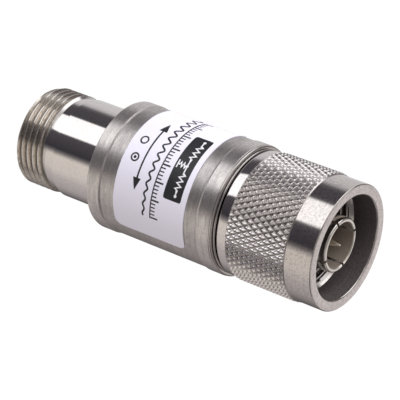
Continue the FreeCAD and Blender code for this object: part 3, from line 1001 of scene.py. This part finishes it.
class Ferrule(bpy.types.Operator):
    """Turn the slotted outer contact and saw its slots"""

    bl_idname = "attenuator.ferrule"
    bl_label = "Slotted ferrule"

    def execute(self, context):
        part = chosen("ferrule")
        look = chosen("finish")
        low, high = heights("plug_ferrule")
        lip_low = high - part.lip_length
        mesh = turned("ferrule_slotted", [
            (part.bore, low), (part.root, low), (part.root, part.root_top, 0.1),
            (part.waist, part.root_top, 0.25), (part.waist, lip_low - (part.lip - part.waist)),
            (part.lip, lip_low, 0.1), (part.lip, high, part.front_round), (part.bore + part.bore_chamfer, high),
            (part.bore, high - part.bore_chamfer),
        ], columns=192)
        mesh = saw_cuts(mesh, part.slot_width, high - part.slot_depth, high + 1.0,
                        (part.slot_turn, part.slot_turn + FULL_TURN / 4))
        finish = turned_metal("plated_bronze", look.plated_bronze, 0.16, line_depth=0.6, smudge=0.06,
                              patches=[Patch(0.4, look.tarnish, metal=0.55, radii=(0.0, part.bore + 0.08))])
        add_piece(mesh, finish, "body", "plated_bronze", "plug_ferrule")
        return {"FINISHED"}


class Gasket(bpy.types.Operator):
    """Mould the face gasket at the foot of the ferrule"""

    bl_idname = "attenuator.gasket"
    bl_label = "Gasket"

    def execute(self, context):
        plug = chosen("plug")
        look = chosen("finish")
        low, high = heights("gasket")
        mesh = turned("gasket_moulded", [
            (plug.gasket_bore, low, 0.1), (plug.gasket, low, 0.1), (plug.gasket, high, plug.gasket_round),
            (plug.gasket_bore, high, 0.15),
        ], columns=128)
        finish = moulded_finish("gasket_rubber", look.gasket_rubber, 0.6, 5.0)
        add_piece(mesh, finish, "body", "gasket_rubber", "gasket")
        return {"FINISHED"}


class CouplingNut(bpy.types.Operator):
    """Turn, thread and knurl the coupling nut"""

    bl_idname = "attenuator.coupling_nut"
    bl_label = "Coupling nut"

    def execute(self, context):
        nut = chosen("nut")
        jack = chosen("jack")
        look = chosen("finish")
        low, high = heights("coupling_nut")
        knurl_low = low + nut.collar_length
        front_low = knurl_low + nut.knurl_length + nut.front_chamfer
        thread_high = high - nut.mouth_length
        thread_low = thread_high - nut.thread_length
        pitch = 2 * (front_low - knurl_low) / round(2 * (front_low - knurl_low) / nut.knurl_pitch)
        crown = (0.0, 0.45, 0.9, 1.0)  # The height of a ridge at even steps from its groove to its middle.
        fineness = len(crown) - 1
        columns = nut.knurl_starts * 2 * fineness
        ring = front_low - nut.end_ring
        near = 0.05  # Rows that are nearer than this to an end of the knurl are left out.
        ends = [knurl_low, knurl_low + nut.rear_chamfer, ring - 0.06, ring, front_low]
        row_height = pitch / (2 * fineness)
        rows = [knurl_low + row_height * k for k in range(1, math.ceil((front_low - knurl_low) / row_height))]
        rows = sorted([z for z in rows if min(abs(z - end) for end in ends) > near] + ends)

        def ridge(phase):
            at = min((1 - abs(2 * (phase % 1.0) - 1)) * fineness, fineness - 1e-9)
            step = int(at)
            return crown[step] + (crown[step + 1] - crown[step]) * (at - step)

        def knurl(column, z):
            around = column / (2 * fineness)
            along = (z - knurl_low) / pitch
            front = nut.front + front_low - z
            if z > ring - 1e-6:
                return front
            radius = nut.knurl - nut.knurl_depth * (1 - min(ridge(around - along), ridge(around + along)))
            return min(radius, nut.knurl - nut.rear_chamfer + (z - knurl_low), front)

        def surface(depth, z):
            radius = nut.minor + (1 - depth) * jack.thread_depth
            upper = nut.minor + nut.thread_chamfer - (thread_high - z)
            if upper > nut.minor:
                return upper
            lower = nut.relief - (nut.relief - nut.minor) * (z - thread_low) / nut.thread_chamfer
            return max(radius, upper, lower)

        rear = rounded([(nut.bore, low), (nut.collar, low, nut.collar_round), (nut.collar, knurl_low - 0.02),
                        (nut.collar, knurl_low)])
        mouth = rounded([(nut.front, front_low + 0.02), (nut.front, high, nut.front_edge),
                         (nut.mouth, high, nut.mouth_chamfer), (nut.mouth, thread_high)])
        inside = rounded([(nut.relief, thread_low), (nut.relief, nut.relief_low), (nut.bore, nut.relief_low),
                          (nut.bore, nut.ring_high), (nut.ring_floor, nut.ring_high),
                          (nut.ring_floor, nut.ring_low), (nut.bore, nut.ring_low)])
        sections = []
        for column in range(columns + 1):
            thread = thread_rows(column / columns, thread_low, thread_high, jack.pitch, surface)
            sections.append(rear + [(knurl(column, z), z) for z in rows] + mouth + thread[::-1] + inside)
        first = len(rear)
        mesh = skin("coupling_nut_knurled", sections, helical=True, folded=range(first, first + len(rows) - 1))
        face = high - 0.03
        wide = nut.mouth + 0.1
        # Painted shade: a dark, dull patch on the nut's mouth wall and in the grooves of its inner thread.
        dark = {"gloss": 0.4, "tint": look.dark_steel, "metal": 0.6, "specks": 0.3, "uneven": 0.2}
        patches = [
            Patch(0.12, look.bright_steel, heights=(knurl_low, front_low)),
            Patch(0.13, look.stained_steel, heights=(front_low, face), specks=0.4, uneven=0.13),
            Patch(0.3, look.nut_steel, heights=(face, high + 1.0), specks=0.5, uneven=0.16),
            Patch(heights=(thread_high + 0.02, high - nut.mouth_chamfer), radii=(0.0, wide), **dark),
            Patch(heights=(thread_low, thread_high - nut.thread_chamfer), radii=(nut.minor + 0.12, wide), **dark),
        ]
        # The grime darkens the knurl's grooves: dirt and painted shade.
        finish = turned_metal("nut_steel", look.nut_steel, look.polish, line_depth=0.5, smudge=0.03, specks=0.3,
                              grime=Grime(nut.knurl, nut.knurl_depth, knurl_low, front_low, 0.5), patches=patches)
        add_piece(mesh, finish, "nut", "nut_steel", "coupling_nut")
        return {"FINISHED"}


class InnerPieces(bpy.types.Operator):
    """Give the pieces inside their finishes"""

    bl_idname = "attenuator.inner_pieces"
    bl_label = "Inner pieces"

    def execute(self, context):
        look = chosen("finish")
        bead = moulded_finish("bead_plastic", look.bead_plastic, 0.45, 4.0)
        brass = gold_metal("plain_brass", look.plain_brass, 0.25)
        bronze = gold_metal("spring_bronze", look.spring_bronze, 0.3)
        gold = bpy.data.materials["gold_plate"]
        inner = {bead: ("jack_bead", "plug_bead"), bronze: ("stack_spring", "nut_ring"),
                 brass: ("jack_bead_ring", "plug_bead_ring", "card_holder_front", "card_holder_rear"),
                 gold: ("jack_bullet", "plug_bullet"), card_finish(): ("attenuator_card",)}
        for finish, nodes in inner.items():
            for node in nodes:
                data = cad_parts[node].data
                data.materials.clear()
                data.materials.append(finish)
        return {"FINISHED"}


# Stage, with all places in metres

LAMP_AIM = Vector((0.0, 0.0, 0.028))
FLOOR_RADIUS = 0.9
FLOOR_GLOW = 1.08  # A little over white, so that the floor stays white under a faint shade.
WORLD_SHARE = 0.5  # How strongly the world lights the object, against the surround.
TENT_STRENGTH = 1.7

# The colours of the tent's walls, each after its turn in degrees from the front towards +X. The lower walls blend
# into the upper ones, and these into the ceiling, between two heights in parts of the tent's radius.
LOWER_TO_UPPER = (-0.15, 0.2)
UPPER_TO_CEILING = (0.72, 0.77)
LOWER_WALLS = (
    (-180, 0.42, 0.42, 0.42), (-120, 0.48, 0.465, 0.47), (-108, 0.4, 0.39, 0.4), (-98, 0.1, 0.095, 0.1),
    (-90, 0.06, 0.055, 0.062), (-62, 0.05, 0.048, 0.055), (-59, 0.95, 0.95, 0.95), (-16, 1.0, 1.0, 1.0),
    (-13, 0.06, 0.055, 0.062), (22, 0.032, 0.03, 0.036), (29, 0.14, 0.13, 0.13), (38, 0.52, 0.49, 0.45),
    (70, 0.5, 0.468, 0.44), (90, 0.38, 0.355, 0.345), (120, 0.29, 0.27, 0.27), (142, 0.16, 0.147, 0.147),
    (160, 0.07, 0.065, 0.065), (174, 0.12, 0.11, 0.11), (180, 0.42, 0.42, 0.42),
)
UPPER_WALLS = (
    (-180, 0.5, 0.475, 0.46), (-168, 0.42, 0.4, 0.39), (-152, 0.12, 0.11, 0.11), (-118, 0.1, 0.09, 0.09),
    (-111, 1.0, 1.0, 1.0), (-72, 1.0, 1.0, 1.0), (-60, 0.5, 0.49, 0.49), (-26, 0.42, 0.41, 0.41),
    (-20, 0.2, 0.19, 0.2), (40, 0.2, 0.19, 0.19), (54, 0.2, 0.19, 0.185), (66, 0.09, 0.085, 0.085),
    (108, 0.09, 0.085, 0.085), (122, 0.3, 0.28, 0.265), (133, 0.22, 0.205, 0.2), (146, 0.1, 0.09, 0.09),
    (157, 0.1, 0.09, 0.09), (169, 0.4, 0.38, 0.37), (180, 0.5, 0.475, 0.46),
)
CEILING = (
    (-180, 0.2, 0.19, 0.18), (-108, 0.2, 0.19, 0.18), (-94, 0.4, 0.37, 0.34), (-50, 0.42, 0.38, 0.34),
    (-36, 0.12, 0.11, 0.11), (50, 0.12, 0.11, 0.11), (76, 0.36, 0.33, 0.3), (130, 0.36, 0.33, 0.3),
    (180, 0.2, 0.19, 0.18),
)


class Stage(bpy.types.Operator):
    """Set the camera, the lamps, the surround and the pale floor"""

    bl_idname = "attenuator.stage"
    bl_label = "Studio"

    def execute(self, context):
        scene = context.scene
        studio = scene.attenuator_studio
        scene.view_settings.view_transform = "Standard"
        scene.camera = self.camera(studio)
        self.lamp("key_lamp", Vector((-0.34, -0.2, 0.26)), size=0.3, power=studio.key)
        self.lamp("fill_lamp", Vector((0.36, -0.3, 0.16)), size=0.4, power=studio.fill)
        scene.world = self.world(studio)
        self.tent(studio)
        self.floor(studio)
        return {"FINISHED"}

    def placed(self, name, data, location=(0.0, 0.0, 0.0), rotation=(1.0, 0.0, 0.0, 0.0)):
        """A new object in the scene."""
        item = bpy.data.objects.new(name, data)
        bpy.context.scene.collection.objects.link(item)
        item.location = location
        item.rotation_mode = "QUATERNION"
        item.rotation_quaternion = rotation
        return item

    def staged(self, name, shape, finish):
        """A piece of the studio, which isn't part of the object."""
        mesh = bpy.data.meshes.new(name)
        shape.to_mesh(mesh)
        shape.free()
        mesh.materials.append(finish)
        piece = self.placed(name, mesh)
        piece.visible_shadow = False
        return piece

    def camera(self, studio):
        """The camera, turned about its line of sight from the upright."""
        eye, target = Vector(studio.eye), Vector(studio.target)
        aim = (target - eye).to_track_quat("-Z", "Y")
        data = bpy.data.cameras.new("camera")
        data.lens = studio.lens
        data.sensor_width = 36.0
        data.clip_start, data.clip_end = 0.01, 10.0
        return self.placed("camera", data, eye, aim @ Quaternion((0.0, 0.0, 1.0), studio.roll))

    def lamp(self, name, location, size, power):
        """A square lamp that no reflection shows."""
        data = bpy.data.lights.new(name, "AREA")
        data.size = size
        data.energy = power
        self.placed(name, data, location, (LAMP_AIM - location).to_track_quat("-Z", "Y")).visible_glossy = False

    def world(self, studio):
        """A world that is seen white and lights the object less."""
        world = bpy.data.worlds.new("studio")
        world.use_nodes = True
        nodes = Nodes(world.node_tree)
        dim = nodes.glow("Background", WHITE, studio.surround * WORLD_SHARE)
        white = nodes.glow("Background", WHITE, 1.0)
        seen = nodes.rays("Is Camera Ray", "Is Glossy Ray", "Is Transmission Ray")
        nodes.show(nodes.add("ShaderNodeMixShader", values={0: seen, 1: dim, 2: white}), "World")
        return world

    def tent(self, studio):
        """A wide tent of painted walls, which the steel mirrors and the camera doesn't see."""
        finish, nodes = new_finish("tent_cloth")
        x, y, z = nodes.place(TENT_RADIUS)
        around = x.math("ARCTAN2", -y) / FULL_TURN + 0.5
        lower, upper, ceiling = [nodes.add("ShaderNodeValToRGB", {"stops": ramp_stops(walls)}, {0: around})
                                 for walls in (LOWER_WALLS, UPPER_WALLS, CEILING)]
        walls = nodes.blend(z.step(*LOWER_TO_UPPER), lower, upper)
        cloth = nodes.blend(z.step(*UPPER_TO_CEILING), walls, ceiling)
        nodes.show(nodes.glow("Emission", cloth, studio.surround * TENT_STRENGTH))
        shape = bmesh.new()
        bmesh.ops.create_icosphere(shape, subdivisions=5, radius=TENT_RADIUS)
        self.staged("tent", shape, finish).visible_camera = False

    def floor(self, studio):
        """A pale floor that shows white and keeps the object's soft shadow."""
        finish, nodes = new_finish("floor_white")
        glow = nodes.glow("Emission", WHITE, FLOOR_GLOW)
        paint = nodes.add("ShaderNodeBsdfDiffuse", values={"Color": (0.9, 0.9, 0.9, 1.0)})
        nodes.show(nodes.add("ShaderNodeMixShader", values={0: studio.floor, 1: glow, 2: paint}))
        shape = bmesh.new()
        bmesh.ops.create_circle(shape, cap_ends=True, segments=96, radius=FLOOR_RADIUS)
        floor = self.staged("floor", shape, finish)
        floor.visible_diffuse = floor.visible_glossy = floor.visible_transmission = False


def ramp_stops(walls):
    """The stops of a colour ramp, which starts behind the object, from the walls' turns and colours."""
    return [((turn + 180) / 360, (*shade, 1.0)) for turn, *shade in walls]


# Add-on

GROUPS = {
    "tube": TubeSizes, "label": LabelSizes, "jack": JackSizes, "contacts": ContactSizes, "plug": PlugSizes,
    "ferrule": FerruleSizes, "nut": NutSizes, "finish": FinishColours, "studio": StudioLook,
}
OPERATORS = (BodyTube, WrapLabel, JackShell, Contacts, PlugShell, Ferrule, Gasket, CouplingNut, InnerPieces, Stage)


class AttenuatorPanel(bpy.types.Panel):
    """The attenuator's sizes, colours and building steps"""

    bl_idname = "VIEW3D_PT_attenuator"
    bl_label = "Coaxial attenuator"
    bl_space_type = "VIEW_3D"
    bl_region_type = "UI"
    bl_category = "Attenuator"

    def draw(self, context):
        for operator in OPERATORS:
            self.layout.operator(operator.bl_idname)
        for name, group in GROUPS.items():
            box = self.layout.box()
            box.label(text=group.__doc__)
            for identifier in group.__annotations__:
                box.prop(getattr(context.scene, PREFIX + name), identifier)


def register():
    """Register the classes and hang the property groups on the scene."""
    for name, group in GROUPS.items():
        bpy.utils.register_class(group)
        setattr(bpy.types.Scene, PREFIX + name, PointerProperty(type=group))
    for item in (*OPERATORS, AttenuatorPanel):
        bpy.utils.register_class(item)


def unregister():
    """Take away what register added."""
    for item in reversed((*OPERATORS, AttenuatorPanel)):
        bpy.utils.unregister_class(item)
    for name, group in reversed(GROUPS.items()):
        delattr(bpy.types.Scene, PREFIX + name)
        bpy.utils.unregister_class(group)


def main():
    """Build every piece in order."""
    register()
    for operator in OPERATORS:
        family, step = operator.bl_idname.split(".")
        getattr(getattr(bpy.ops, family), step)()


if __name__ == "__main__":
    main()
